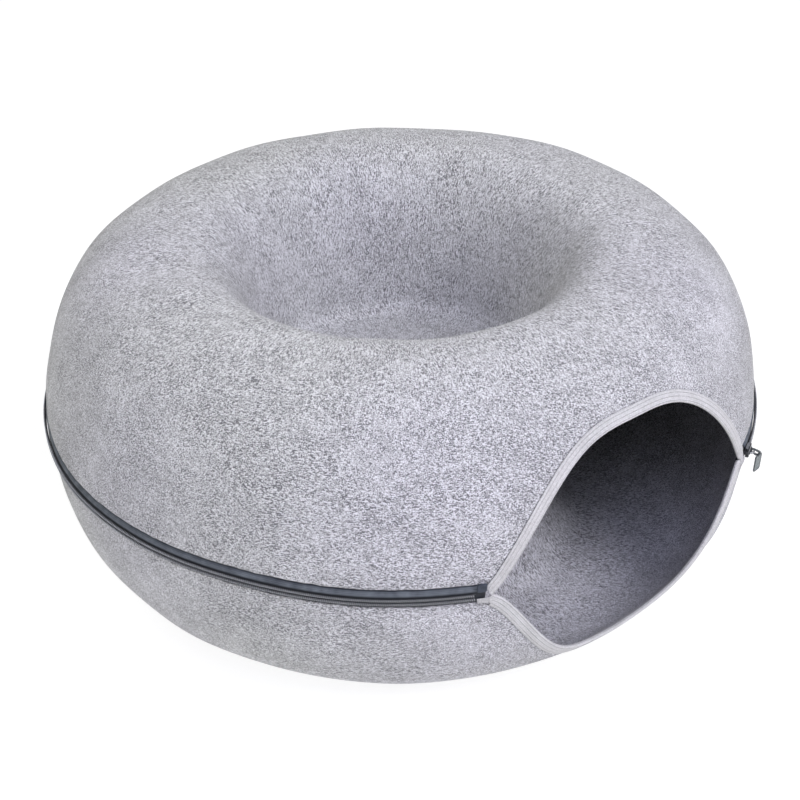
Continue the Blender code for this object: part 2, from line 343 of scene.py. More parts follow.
feltLook = {
    "pale": (0.800, 0.798, 0.832, 1.0),
    "deep": (0.160, 0.158, 0.172, 1.0),
    "middle": 0.51,
    "streaks": 1.45,
    # scale, detail and roughness of each variation of the shade, and its weight
    "variations": {
        "grain": (1050.0, 1.0, 0.5, 2.30),
        "clumps": (420.0, 2.0, 0.55, 0.12),
        "mottle": (85.0, 2.0, 0.5, 0.40),
        "patches": (22.0, 2.0, 0.5, 0.30),
    },
    "flecks": 1.90,
    "fleckFrom": 0.03,
    # scale along and across the fibres, the ways they lie, and how far they wander
    "fibreScale": (330.0, 1300.0, 1300.0),
    "lays": ((0.3, 0.2, 0.4), (1.2, 0.5, 2.1), (-0.7, 1.1, 1.2)),
    "wander": 0.010,
    "combed": 2.60,
    "combAround": 210.0,
    "combAlong": 290.0,
    "combFade": (0.170, 0.285),
    "combReplaces": 0.70,
    # lightening of the felt in the hole: partly evens out the darker combed fibres, partly painted
    # light
    "combLiftAndPaintedLight": 0.095,
    # painted shade on the inner face of the upper half, and a touch of painted light on that of the
    # lower
    "paintedInsideLightAndShade": {"upper": (0.34, 0.34, 0.35, 1.0), "lower": (1.04, 1.04, 1.05, 1.0)},
    "greenish": (1.0, 1.005, 0.985, 1.0),
    "lavender": (0.995, 0.985, 1.02, 1.0),
    # scale, thinness and colour of the single dark and white hairs
    "hairs": ((330.0, 0.0055, (0.060, 0.060, 0.068, 1.0)), (410.0, 0.007, (0.86, 0.86, 0.88, 1.0))),
    "hairStrength": 0.75,
    "roughness": 0.95,
    "sheen": 0.20,
    "bump": 0.00050,
}


def feltFinish(name, look, paintedInsideLightAndShade):
    # needled felt: short fibres that lie one way here and another there, dark flecks in
    # clusters, soft mottling, and single dark and white hairs
    material, tree, shader = newFinish(name)
    place = addNode(tree, "TexCoord").outputs["Object"]
    swirl = noise(tree, place, 30.0, 1.0, 0.5, "Color")
    offset = vectorMaths(tree, "SUBTRACT", {0: swirl, 1: (0.5, 0.5, 0.5)})
    offset = vectorMaths(tree, "SCALE", {0: offset, 3: look["wander"]})
    warped = vectorMaths(tree, "ADD", {0: place, 1: offset})

    # fibres combed down into the hole: noise drawn out across and up, and fine round the axis
    parts = addNode(tree, "SeparateXYZ", {0: warped}).outputs
    radius = weightedSum(tree, ((parts[0], parts[0]), (parts[1], parts[1])))
    radius = maths(tree, "SQRT", radius)
    combed = addNode(tree, "CombineXYZ", {
        0: times(tree, maths(tree, "ARCTAN2", parts[1], parts[0]), look["combAround"]),
        1: times(tree, radius, look["combAlong"]),
        2: times(tree, parts[2], look["combAlong"]),
    }).outputs[0]
    combing = ramp(tree, radius, *look["combFade"], 1.0, 0.0)
    fibre = centred(tree, noise(tree, combed, 1.0, 2.0, 0.65))
    streaks = times(tree, fibre, times(tree, combing, look["combed"]))
    uncombed = maths(tree, "SUBTRACT", 1.0, times(tree, combing, look["combReplaces"]))

    for lay in look["lays"]:
        turned = addNode(tree, "Mapping", {
            "Vector": warped, "Rotation": lay, "Scale": look["fibreScale"],
        }).outputs[0]
        fibre = centred(tree, noise(tree, turned, 1.0, 2.0, 0.65))
        shifted = addNode(tree, "Mapping", {"Vector": place, "Location": lay}).outputs[0]
        share = ramp(tree, noise(tree, shifted, 16.0, 1.0), 0.38, 0.62, 0.35, 1.85)
        share = times(tree, share, uncombed)
        streaks = maths(tree, "ADD", streaks, times(tree, fibre, share))

    varied = {}
    weighted = [(streaks, look["streaks"])]
    for key, (scale, detail, roughness, weight) in look["variations"].items():
        varied[key] = centred(tree, noise(tree, place, scale, detail, roughness))
        weighted.append((varied[key], weight))
    shade = weightedSum(tree, weighted)
    clusters = ramp(tree, noise(tree, place, 52.0, 2.0, 0.55), 0.46, 0.62)
    flecks = maths(tree, "ADD", streaks, varied["grain"])
    flecks = maths(tree, "MINIMUM", flecks, -look["fleckFrom"])
    flecks = times(tree, maths(tree, "ADD", flecks, look["fleckFrom"]), look["flecks"])
    shade = maths(tree, "ADD", shade, times(tree, flecks, clusters))
    # the felt in the hole made lighter: partly evens out the darker combed fibres, partly painted
    # light
    lift = times(tree, maths(tree, "POWER", combing, 3.0), look["combLiftAndPaintedLight"])
    shade = maths(tree, "ADD", maths(tree, "ADD", shade, lift), look["middle"], clamp=True)
    colour = blendColours(tree, shade, look["deep"], look["pale"])

    hairPlace = addNode(tree, "Mapping", {
        "Vector": warped, "Rotation": (0.4, 0.9, 0.3), "Location": (0.31, 0.12, 0.57),
    }).outputs[0]
    for scale, thin, hairColour in look["hairs"]:
        strand = maths(tree, "ABSOLUTE", centred(tree, noise(tree, hairPlace, scale, 0.0)))
        strand = ramp(tree, strand, thin, thin * 3, 1.0, 0.0)
        part = ramp(tree, noise(tree, place, scale * 0.9, 1.0), 0.55, 0.62)
        strand = times(tree, times(tree, strand, part), look["hairStrength"])
        colour = blendColours(tree, strand, colour, hairColour)

    tint = ramp(tree, noise(tree, place, 4.0, 1.0), 0.35, 0.65)
    tint = blendColours(tree, tint, look["greenish"], look["lavender"])
    colour = blendColours(tree, 1.0, colour, tint, "MULTIPLY")
    # painted shade and light: by each point's "inside", the inner face is darkened in the upper
    # half and lightened a little in the lower
    colour = blendColours(tree, pointValue(tree, "inside"), colour, paintedInsideLightAndShade, "MULTIPLY")

    height = weightedSum(tree, ((streaks, 1.0), (varied["clumps"], 1.5)))
    setInputs(tree, shader, {
        "Base Color": colour, "Normal": bump(tree, look["bump"], height),
        "Roughness": look["roughness"], "Specular IOR Level": 0.15,
        "Sheen Weight": look["sheen"], "Sheen Roughness": 0.6,
    })
    return material


knitLook = {
    "pale": (0.835, 0.822, 0.855, 1.0),
    "deep": (0.330, 0.325, 0.330, 1.0),
    # painted shadow: a near-black line along the outer flap's free edge, and its width
    "seam": (0.030, 0.028, 0.032, 1.0),
    "seamWidth": 0.0015,
    "wale": 0.00150,
    "course": 0.00120,
    "groove": 0.0030,
    "contrast": 2.8,
    "roughness": 0.85,
    "bump": 0.00030,
}


def knitFinish(name, look):
    # fine knit: each wale is a row of slanted legs, worked out from the strip's own map in metres
    material, tree, shader = newFinish(name)
    along, across = mapParts(tree)
    column = times(tree, across, 1 / look["wale"])
    leg = maths(tree, "PINGPONG", column, 0.5)
    row = maths(tree, "ADD", times(tree, along, 1 / look["course"]), leg)
    stitch = maths(tree, "PINGPONG", row, 0.5)
    knit = times(tree, stitch, maths(tree, "SQRT", leg))
    knit = times(tree, knit, look["contrast"], clamp=True)
    place = addNode(tree, "TexCoord").outputs["Object"]
    wander = noise(tree, place, 800.0, 2.0, 0.6)
    soil = noise(tree, place, 60.0, 2.0)
    groove = maths(tree, "PINGPONG", times(tree, across, 1 / look["groove"]), 0.5)
    groove = ramp(tree, groove, 0.02, 0.16)
    shade = weightedSum(tree, ((knit, 0.42), (wander, 0.90), (soil, 0.40), (groove, 0.20)))
    colour = blendColours(tree, ramp(tree, shade, 0.45, 1.45), look["deep"], look["pale"])
    # painted shadow of the fold along the outer flap's free edge
    seam = ramp(tree, across, look["seamWidth"] * 0.8, look["seamWidth"] * 1.2, 1.0, 0.0)
    height = weightedSum(tree, ((knit, 1.0), (groove, 1.0), (wander, 0.6)))
    setInputs(tree, shader, {
        "Base Color": blendColours(tree, seam, colour, look["seam"]),
        "Normal": bump(tree, look["bump"], height),
        "Roughness": look["roughness"], "Specular IOR Level": 0.25, "Sheen Weight": 0.2,
    })
    return material


twillLook = {
    "pale": (0.170, 0.190, 0.222, 1.0),
    "deep": (0.030, 0.035, 0.048, 1.0),
    # painted shade: the tape's colour under the coil and under the felt's edge, and how far each
    # reaches
    "creviceShadow": (0.012, 0.013, 0.018, 1.0),
    "underCoil": {"upper": 0.0033, "lower": 0.0058},
    "underFelt": 0.0076,
    "shadeEdgeNoise": 0.0012,
    "creviceShade": 0.9,
    "rib": 0.00130,
    "slant": 0.00150,
    "roughness": 0.65,
    "bump": 0.00012,
}


# the folded end: a darker copy of the tape's twill, painted shade of the fold
twillFoldLook = dict(twillLook, pale=(0.075, 0.090, 0.125, 1.0), deep=(0.016, 0.020, 0.032, 1.0))


def twillFinish(name, look, underCoil):
    # zip tape: lengthwise ribs crossed by a slanting twill, worked out from the tape's own map,
    # with painted shade beneath the coil and beneath the felt's edge by its distance "beside" the
    # zip
    material, tree, shader = newFinish(name)
    along, across = mapParts(tree)
    rib = maths(tree, "PINGPONG", times(tree, across, 1 / look["rib"]), 0.5)
    slant = maths(tree, "ADD", times(tree, along, 1 / look["slant"]),
                  times(tree, across, 1 / look["rib"]))
    slant = maths(tree, "PINGPONG", slant, 0.5)
    weave = weightedSum(tree, ((rib, 0.7), (slant, 1.1)))
    place = addNode(tree, "TexCoord").outputs["Object"]
    wear = noise(tree, place, 120.0, 3.0)
    shade = weightedSum(tree, ((weave, 1.0), (centred(tree, wear), 1.2)))
    colour = blendColours(tree, ramp(tree, shade, 0.0, 0.9), look["deep"], look["pale"])
    beside = pointValue(tree, "beside")
    # painted shade under the coil and under the felt's edge, the felt's edge of it made ragged by
    # noise
    shadeEdgeNoise = times(tree, noise(tree, place, 600.0, 2.0), look["shadeEdgeNoise"])
    coilShade = ramp(tree, beside, underCoil, underCoil + 0.0008, 1.0, 0.0)
    nearFelt = maths(tree, "ADD", beside, shadeEdgeNoise)
    feltShade = ramp(tree, nearFelt, look["underFelt"], look["underFelt"] + 0.0012)
    creviceShadow = times(tree, maths(tree, "MAXIMUM", coilShade, feltShade), look["creviceShade"])
    setInputs(tree, shader, {
        "Base Color": blendColours(tree, creviceShadow, colour, look["creviceShadow"]),
        "Normal": bump(tree, look["bump"], weave),
        "Roughness": look["roughness"], "Specular IOR Level": 0.35,
    })
    return material


def hardFinish(name, look):
    # cloudy wear in its colour and gloss; with a "dark" colour in the look, it turns to that by
    # each point's "dark": painted shade on the wire's cord and the backs of its turns and on the
    # slider's rims, and the pull's darker link and rim
    material, tree, shader = newFinish(name)
    place = addNode(tree, "TexCoord").outputs["Object"]
    wear = noise(tree, place, look["scale"], 4.0, 0.6)
    cloud = noise(tree, place, look["scale"] * 2.5, 3.0)
    colour = blendColours(tree, ramp(tree, wear, 0.35, 0.65), look["deep"], look["pale"])
    if "dark" in look:
        colour = blendColours(tree, pointValue(tree, "dark"), colour, look["dark"])
    setInputs(tree, shader, {
        "Base Color": colour, "Normal": bump(tree, 0.00003, wear, 0.6),
        "Roughness": ramp(tree, cloud, 0.3, 0.7, *look["gloss"]), "Metallic": look["metallic"],
    })
    return material


nylonLook = {
    "scale": 900.0,
    "gloss": (0.25, 0.40),
    "metallic": 0.0,
    "pale": (0.56, 0.57, 0.60, 1.0),
    "deep": (0.27, 0.28, 0.30, 1.0),
    # painted shade on the backs of the wire's turns and on its cord
    "dark": (0.010, 0.010, 0.014, 1.0),
}


viewLook = {
    "azimuth": 6.6,
    "elevation": 32.32,
    "roll": -0.73,
    "distance": 1.428,
    "aim": (0.0, 0.0, 0.135),
    "lens": 74.1,
    "shiftY": -0.018,
}


def outwards(around, above):
    # direction by its angle from the front towards +X and its angle above the floor
    flat = math.cos(above)
    return Vector((math.sin(around) * flat, -math.cos(around) * flat, math.sin(above)))


def placeCamera(look):
    # on a sphere about the bed, looking at its middle, turned a little about its own axis
    angles = (look[key] for key in ("azimuth", "elevation", "roll"))
    azimuth, elevation, roll = map(math.radians, angles)
    back = outwards(azimuth, elevation)
    right = Vector((math.cos(azimuth), math.sin(azimuth), 0.0))
    up = back.cross(right)
    right, up = (
        math.cos(roll) * right + math.sin(roll) * up,
        math.cos(roll) * up - math.sin(roll) * right,
    )
    turned = Matrix((right, up, back)).transposed().to_4x4()
    turned.translation = Vector(look["aim"]) + back * look["distance"]
    camera = addObject("camera", bpy.data.cameras.new("camera"))
    camera.data.lens = look["lens"]
    camera.data.sensor_width = 36.0
    camera.data.shift_y = look["shiftY"]
    camera.data.clip_start = 0.05
    camera.matrix_world = turned
    bpy.context.scene.camera = camera


studioLook = {
    # sines of the heights where the surround fades, and its strength below and above them
    "fade": (0.02, 0.14, 0.40, 0.170),
    "surround": (1.0, 1.0, 0.965, 1.0),
    "floor": (0.28, 0.28, 0.28, 1.0),
    "floorGlow": 0.82,
    "floorSize": 12.0,
    "lampDistance": 3.0,
    "lampSize": 1.4,
    "lampAim": (0.0, 0.0, 0.1),
    # direction from the front towards +X, height in degrees, power and colour of each soft light
    "lights": {
        "key": (60.0, 44.0, 50.0, (0.97, 0.96, 1.0)),
        "left": (-40.0, 48.0, 11.0, (1.0, 1.0, 0.88)),
        "back_left": (-112.0, 42.0, 21.0, (1.0, 1.0, 0.89)),
        "front": (8.0, 50.0, 25.0, (0.74, 0.76, 1.0)),
        "right": (112.0, 48.0, 11.0, (0.9, 0.9, 1.0)),
    },
}


def buildSurround(look):
    # an even pale surround, brightest near the horizon and dimmer overhead
    world = bpy.data.worlds.new("studio")
    world.use_nodes = True
    tree = world.node_tree
    surround = tree.nodes["Background"]
    direction = addNode(tree, "TexCoord").outputs["Generated"]
    height = addNode(tree, "SeparateXYZ", {0: direction}).outputs[2]
    setInputs(tree, surround, {0: look["surround"], 1: ramp(tree, height, *look["fade"])})
    bpy.context.scene.world = world
    bpy.context.scene.view_settings.view_transform = "Standard"


def buildStudio(look):
    # a plain pale floor and large soft lights aimed at the bed
    half = look["floorSize"] / 2
    spots = np.array([[[x, y, 0.0] for x in (-half, half)] for y in (-half, half)])
    floorFinish, tree, shader = newFinish("floor")
    setInputs(tree, shader, {
        "Base Color": look["floor"], "Roughness": 0.9,
        "Emission Color": (1.0, 1.0, 1.0, 1.0), "Emission Strength": look["floorGlow"],
    })
    floor = finishMesh("floor", gridMesh("floor", spots), floorFinish)

    for name, (around, above, power, colour) in look["lights"].items():
        place = look["lampDistance"] * outwards(math.radians(around), math.radians(above))
        lamp = bpy.data.lights.new(name, "AREA")
        lamp.shape = "DISK"
        lamp.size = look["lampSize"]
        lamp.energy = power
        lamp.color = colour
        light = addObject(name, lamp)
        light.location = place
        aim = Vector(look["lampAim"]) - place
        light.rotation_euler = aim.to_track_quat("-Z", "Y").to_euler()


placeCamera(viewLook)
buildSurround(studioLook)
buildStudio(studioLook)
print("camera, floor and light placed")


feltPiece = {
    "entranceColumns": 96,
    "ringColumns": 264,
    "rows": (50, 28, 6, 14),
    "edgeRows": 6,
    "edgeRound": 0.0009,
    "frayed": 0.00022,
    "frays": 14,
    "uneven": 0.0012,
    "waves": 26,
    # where each fade starts, and its band
    "calmEdge": (0.0100, 0.030),
    "calmBase": (0.002, 0.020),
    "calmFloor": (0.117, 0.020),
    "bound": (-0.010, 0.006),
    "pressed": 0.55,
    "pressedBand": 0.014,
    "seed": 11,
}


def feltDepth(back):
    # thickness of the felt at a distance back from the bound edge, where it is pressed thinner
    share = fadeIn(back, 0.0, feltPiece["pressedBand"])
    return bedShape["felt"] * (feltPiece["pressed"] + (1 - feltPiece["pressed"]) * eased(share))


def frayedEdge(turn, look, side):
    # small quick waves of the cut edge beside the zip
    random = np.random.default_rng(look["seed"] * 7 + side)
    total = 0 * turn
    for around in random.integers(40, 260, look["frays"]):
        total = total + np.cos(around * turn + random.uniform(0, math.tau))
    return look["frayed"] * total / math.sqrt(look["frays"] / 2)


def squareShare(shell, turn):
    # how much of a step up from the cut edge leads square away from it: 1 / sqrt(1 + slope^2)
    step = 0.002
    rise = archDistance(shell, turn + step) - archDistance(shell, turn - step)
    slope = rise / (2 * step * bedShape["ringRadius"])
    return 1 / np.sqrt(1 + slope * slope)


def unevenness(profile, turn, distance, back, look):
    # sum of long random waves, faded out under the binding, at the base ring and on the floor
    random = np.random.default_rng(look["seed"] + profile["side"])
    total = np.zeros(np.broadcast(turn, distance).shape)
    for _ in range(look["waves"]):
        around = random.integers(2, 17)
        length = random.uniform(0.09, 0.30)
        phase = random.uniform(0, math.tau, 2)
        size = random.uniform(0.5, 1.0) / (1 + around / 6)
        swing = np.cos(around * turn + phase[0])
        total += size * swing * np.cos(math.tau * distance / length + phase[1])
    total *= look["uneven"] / total.std() / 1.6
    radius, height = profileAt(profile, distance)
    atBase, atMiddle = fadeIn(height, *look["calmBase"]), fadeIn(radius, *look["calmFloor"])
    fade = eased(fadeIn(back, *look["calmEdge"])) * atBase * atMiddle
    return total * fade


def feltShell(name, shell, look, material):
    # a closed sheet: out from the middle along its face, round the cut edge, and back behind
    profile = feltProfile(shell)
    half = bedShape["entranceHalf"]
    across = np.sin(np.linspace(-math.pi / 2, math.pi / 2, look["entranceColumns"] + 1))
    aroundRing = np.linspace(half, math.tau - half, look["ringColumns"] + 1)
    turn = np.concatenate([half * across, aroundRing[1:-1]])[None, :]
    side = shell["side"]
    zipEdge = profile["edge"] + side * zipWave(turn) + frayedEdge(turn, look, side)
    arch = np.where(turn <= half, archDistance(shell, turn), 0.0)
    cut = np.maximum(zipEdge, arch)
    bound = fadeIn(arch - zipEdge, *look["bound"])

    rows = [np.arange(count) / count + part for part, count in enumerate(look["rows"])]
    row = np.concatenate(rows + [[len(rows)]])[:, None]
    marks = [profile[key] for key in ("crown", "filletStart", "filletEnd", "end")]
    starts = [cut + look["edgeRound"]] + [np.full_like(cut, mark) for mark in marks]
    distance = np.zeros((len(row), turn.shape[1]))
    for part in range(len(marks)):
        distance = distance + (starts[part + 1] - starts[part]) * fadeIn(row, part, 1)
    distance = distance + starts[0]
    fold = np.linspace(0, math.pi, look["edgeRows"] + 2)[1:-1, None]
    edgeDistance = cut + look["edgeRound"] * (1 - np.sin(fold))
    back = (distance - cut) * squareShare(shell, turn)
    depth = bedShape["felt"] + bound * (feltDepth(back) - bedShape["felt"])
    edgeLift = -depth[:1] * (1 - np.cos(fold)) / 2

    uneven = unevenness(profile, turn, distance, back, look)
    face = feltPoints(profile, turn, distance, uneven)
    edge = feltPoints(profile, turn, edgeDistance, edgeLift)
    rear = feltPoints(profile, turn, distance, uneven - depth)
    points = np.concatenate([face[::-1], edge, rear])
    mesh = gridMesh(name, points, wrapColumns=True)
    inside = np.repeat([0.0, 0.5, 1.0], [face.shape[0], edge.shape[0], rear.shape[0]])
    setAttribute(mesh, "inside", np.repeat(inside, turn.shape[1]))
    return finishMesh(name, mesh, material), profile


felt = {}
profiles = {}
for key, shell in shells.items():
    finish = feltFinish(key + "_felt_finish", feltLook, feltLook["paintedInsideLightAndShade"][key])
    felt[key], profiles[key] = feltShell(key + "_felt", shell, feltPiece, finish)
    install(felt[key], "felt", key + "_shell")
    print(key, "felt has", len(felt[key].data.polygons), "faces")


def thickSection(line, thickness, capPoints):
    # closed outline of a strip of even thickness about a centre line, with round edges
    tangent = unit(np.gradient(line, axis=0))
    normal = stacked(-tangent[:, 1], tangent[:, 0])
    half = thickness / 2
    turn = np.linspace(0, math.pi, capPoints + 2)[1:-1, None]
    firstCap = line[0] - half * (np.cos(turn) * normal[0] + np.sin(turn) * tangent[0])
    lastCap = line[-1] + half * (np.cos(turn) * normal[-1] + np.sin(turn) * tangent[-1])
    return np.concatenate([firstCap, line + half * normal, lastCap, (line - half * normal)[::-1]])


def capEnds(mesh):
    # close the open ends of a tube-like mesh with one face each
    shape = bmesh.new()
    shape.from_mesh(mesh)
    bmesh.ops.holes_fill(shape, edges=[edge for edge in shape.edges if edge.is_boundary], sides=0)
    shape.to_mesh(mesh)
    shape.free()
    return mesh


def joinMeshes(name, meshes):
    # several meshes made one
    joined = bmesh.new()
    for mesh in meshes:
        joined.from_mesh(mesh)
    target = bpy.data.meshes.new(name)
    joined.to_mesh(target)
    joined.free()
    for mesh in meshes:
        bpy.data.meshes.remove(mesh)
    return target


def tubeAlong(name, path, radius, sides, across, closed=False):
    # a round tube along a path; "across" is a direction that the path never runs in
    if closed:
        ahead = np.roll(path, -1, axis=0) - np.roll(path, 1, axis=0)
    else:
        ahead = np.gradient(path, axis=0)
    first = unit(np.cross(ahead, across))
    second = unit(np.cross(first, ahead))
    angle = np.linspace(0, math.tau, sides, endpoint=False)[None, :, None]
    ring = np.cos(angle) * first[:, None, :] + np.sin(angle) * second[:, None, :]
    mesh = gridMesh(name, path[:, None, :] + radius * ring, wrapRows=closed, wrapColumns=True)
    return mesh if closed else capEnds(mesh)


def pillowMesh(name, middle, half, power, turned=None):
    # a box with swollen faces and round edges: a superellipsoid
    up = np.linspace(-math.pi / 2, math.pi / 2, 15)[:, None]
    around = np.linspace(0, math.tau, 28, endpoint=False)[None, :]
    flat = signedPower(np.cos(up), power)
    points = stacked(
        half[0] * flat * signedPower(np.cos(around), power),
        half[1] * flat * signedPower(np.sin(around), power),
        half[2] * signedPower(np.sin(up), power),
    )
    if turned is not None:
        points = points @ np.array(turned).T
    return gridMesh(name, points + np.array(middle), wrapColumns=True)


bindingPiece = {
    # how far each strip reaches past the corners of the entrance, as shares of its half angle
    "reach": {"upper": (-0.997, 0.997), "lower": (-1.072, 1.03)},
    "steps": 330,
    "width": 0.0078,
    "thickness": 0.0007,
    "clear": 0.00012,
    "noseReach": 0.0012,
    "puff": 0.00035,
    "puffFrom": 0.16,
    "puffPower": 0.8,
    "flapPoints": 9,
    "nosePoints": 9,
    "capPoints": 3,
    "tipLength": 0.006,
    "tipWidth": 0.25,
    "tailFade": (0.985, 0.025),
    "tailLift": (0.0019, 0.0034),
    "tailBack": (-0.0014, 0.0030),
}
stitchPiece = {
    "reach": (-0.975, 0.975),
    "fromEdge": 0.0017,
    "pitch": 0.0030,
    "length": 0.0022,
    "thread": 0.00018,
    "rise": 0.00022,
    "sides": 6,
    "points": 7,
}


def bindingPoints(shell, profile, share, back, lift):
    # a point back from the cut edge, square to it on the felt, and lifted off the felt
    half = bedShape["entranceHalf"]
    step = 0.0005

    def edgeAt(share):
        turn = half * share
        distance = archDistance(shell, turn)
        return turn, distance, profileAt(profile, distance)[0]

    turn, distance, radius = edgeAt(share)
    turnBefore, before, _ = edgeAt(share - step)
    turnAfter, after, _ = edgeAt(share + step)
    run, climb = (turnAfter - turnBefore) * radius, after - before
    length = np.hypot(run, climb)
    turn = turn - back * climb / length / radius
    distance = np.maximum(distance + back * run / length, 0.0)
    return feltPoints(profile, turn, distance, lift)


def bindingLine(look):
    # centre line of the folded strip: outer flap, round nose over the cut edge, inner flap;
    # the outer flap swells between its stitching and the nose
    offset = look["clear"] + look["thickness"] / 2
    flap = np.linspace(1, 0, look["flapPoints"], endpoint=False)
    swell = fadeIn(flap, look["puffFrom"], 1 - look["puffFrom"])
    puff = look["puff"] * np.sin(math.pi * swell) ** look["puffPower"]
    nose = np.linspace(-math.pi / 2, math.pi / 2, look["nosePoints"])
    depth = float(feltDepth(0.0))
    noseLift = -depth / 2 - (depth / 2 + offset) * np.sin(nose)
    width = look["width"]
    back = np.concatenate([width * flap, -look["noseReach"] * np.cos(nose), width * flap[::-1]])
    lift = np.concatenate([offset + puff, noseLift, -feltDepth(width * flap[::-1]) - offset])
    return stacked(back, lift)


def bindingPath(shell, look, reach):
    # shares of the half angle along the strip, closest at its ends, and the length so far
    wave = np.sin(np.linspace(-math.pi / 2, math.pi / 2, look["steps"]))
    share = (reach[0] + reach[1]) / 2 + (reach[1] - reach[0]) / 2 * wave
    half = bedShape["entranceHalf"]
    run = np.gradient(share) * half * bedShape["ringRadius"]
    return share, np.cumsum(np.hypot(run, np.gradient(archDistance(shell, half * share))))


def bindingMesh(name, shell, profile, look, reach):
    # the folded section carried along the arch; its tips are round, and where it runs on past
    # a corner it is pressed flat on top of the zip tape
    section = thickSection(bindingLine(look), look["thickness"], look["capPoints"])
    share, length = bindingPath(shell, look, reach)
    tip = fadeIn(np.minimum(length - length[0], length[-1] - length), 0.0, look["tipLength"])
    narrow = np.sqrt(1 - (1 - tip) ** 2)[:, None]
    back, lift = section.T
    tail = eased(fadeIn(np.abs(share), *look["tailFade"]))[:, None]
    lift = lift + tail * (rescaled(lift, *look["tailLift"]) - lift)
    back = back + tail * (rescaled(back, *look["tailBack"]) - back)
    tipShare = look["tipWidth"] + (1 - look["tipWidth"]) * narrow
    back = np.where(back > 0, back * tipShare, back)
    points = bindingPoints(shell, profile, share[:, None], back, lift)
    uv = stacked(length[:, None], girthOf(section))
    mesh = gridMesh(name, points, wrapColumns=True, uv=uv)
    return capEnds(mesh), float(length[-1] - length[0])


def stitchMesh(name, shell, profile, strip, look):
    # short raised threads in a row along the outer flap, all tapered down into the cloth
    share, length = bindingPath(shell, strip, look["reach"])
    starts = np.arange(length[0] + look["pitch"], length[-1] - look["pitch"], look["pitch"])
    run = np.linspace(0, 1, look["points"])[None, :]
    along = starts[:, None] + look["length"] * run
    at = np.interp(along, length, share)
    top = strip["clear"] + strip["thickness"] + look["rise"] * (1.6 * np.sin(math.pi * run) - 0.8)
    back = strip["width"] - look["fromEdge"]
    paths = bindingPoints(shell, profile, at, back, top)
    ahead = np.gradient(paths, axis=1)
    outward = bindingPoints(shell, profile, at, back, top + 0.001) - paths
    first, outward = unit(np.cross(ahead, outward)), unit(outward)
    thick = look["thread"] * np.sqrt(1 - (2 * run - 1) ** 6)[..., None, None]
    angle = np.linspace(0, math.tau, look["sides"], endpoint=False)[None, None, :, None]
    ring = np.cos(angle) * first[:, :, None, :] + np.sin(angle) * outward[:, :, None, :]
    points = paths[:, :, None, :] + thick * ring
    return joinMeshes(name, [gridMesh(name + "_one", one, wrapColumns=True) for one in points])


threadLook = {
    "pale": (0.74, 0.73, 0.72, 1.0),
    "deep": (0.58, 0.57, 0.57, 1.0),
    "scale": 1200.0,
    "gloss": (0.5, 0.7),
    "metallic": 0.0,
}
for key, shell in shells.items():
    finish = knitFinish(key + "_binding_finish", knitLook)
    name = key + "_edge_binding"
    reach = bindingPiece["reach"][key]
    mesh, archLength = bindingMesh(name, shell, profiles[key], bindingPiece, reach)
    binding = finishMesh(name, mesh, finish)
    install(binding, "binding", key + "_binding")
    thread = hardFinish(key + "_thread", threadLook)
    name = key + "_binding_stitches"
    mesh = stitchMesh(name, shell, profiles[key], bindingPiece, stitchPiece)
    install(finishMesh(name, mesh, thread), "binding")
    print(key, "binding is", round(archLength, 3), "m long")


zipPiece = {
    "tapeFace": 0.3005,
    "tapeFlat": 0.0046,
    "tapeTuck": 0.0006,
    "tapeThickness": 0.0009,
    "tapeBehind": 0.010,
    "tapeClear": 0.0007,
    "tapeStart": math.radians(28.3),
    "tapeEnd": math.radians(27.1),
    "tapeMiddle": 0.00048,
    "tapeSteps": 420,
    "coilStart": math.radians(28.7),
    "coilEnd": math.radians(28.6),
    "coilPitch": 0.00155,
    "coilSpacing": 0.0034,
    "coilRadius": 0.3020,
    "coilDepth": 0.00090,
    "coilHalfHeight": 0.00090,
    "wire": 0.00026,
    "pointsPerTurn": 9,
    "wireSides": 5,
    "coreRadius": 0.00050,
}


def zipTape(name, shell, profile, look, material):
    # flat beside its coil, then bent in to pass behind the felt's edge; it starts behind the
    # slider's post
    side, wall, face, edge = shell["side"], profile["wall"], look["tapeFace"], shell["edgeHeight"]

    def behindFelt(height):
        reach = np.interp(side * height, side * profile["height"][wall], profile["radius"][wall])
        return reach - bedShape["felt"] - look["tapeClear"]

    flatEnd = bedShape["zipHeight"] + side * look["tapeFlat"]
    tuck = edge - side * look["tapeTuck"]
    far = edge + side * look["tapeBehind"]
    flat = np.linspace(bedShape["zipHeight"] + side * look["tapeMiddle"], flatEnd, 8)
    behind = np.linspace(tuck, far, 6)
    bend = np.linspace(0, 1, 6)[1:-1]
    bendHeight = flatEnd + (tuck - flatEnd) * bend
    innerRadius = behindFelt(np.maximum(side * behind, side * edge) * side)
    bendRadius = face + (innerRadius[0] - face) * eased(bend)
    height = np.concatenate([flat, bendHeight, behind])
    radius = np.concatenate([face + 0 * flat, bendRadius, innerRadius])
    line = stacked(radius - look["tapeThickness"] / 2, height)
    section = thickSection(line, look["tapeThickness"], 3)
    turn = np.linspace(look["tapeStart"], math.tau - look["tapeEnd"], look["tapeSteps"])
    length = float(turn[-1] - turn[0]) * face
    turn = turn[:, None]
    points = ringPoints(turn, section[:, 0], section[:, 1] + zipWave(turn))
    uv = stacked(turn * bedShape["ringRadius"], girthOf(section))
    mesh = gridMesh(name, points, wrapColumns=True, uv=uv)
    beside = np.abs(section[:, 1] - bedShape["zipHeight"])
    setAttribute(mesh, "beside", np.tile(beside, look["tapeSteps"]))
    return finishMesh(name, capEnds(mesh), material), girthOf(line)[-1], length


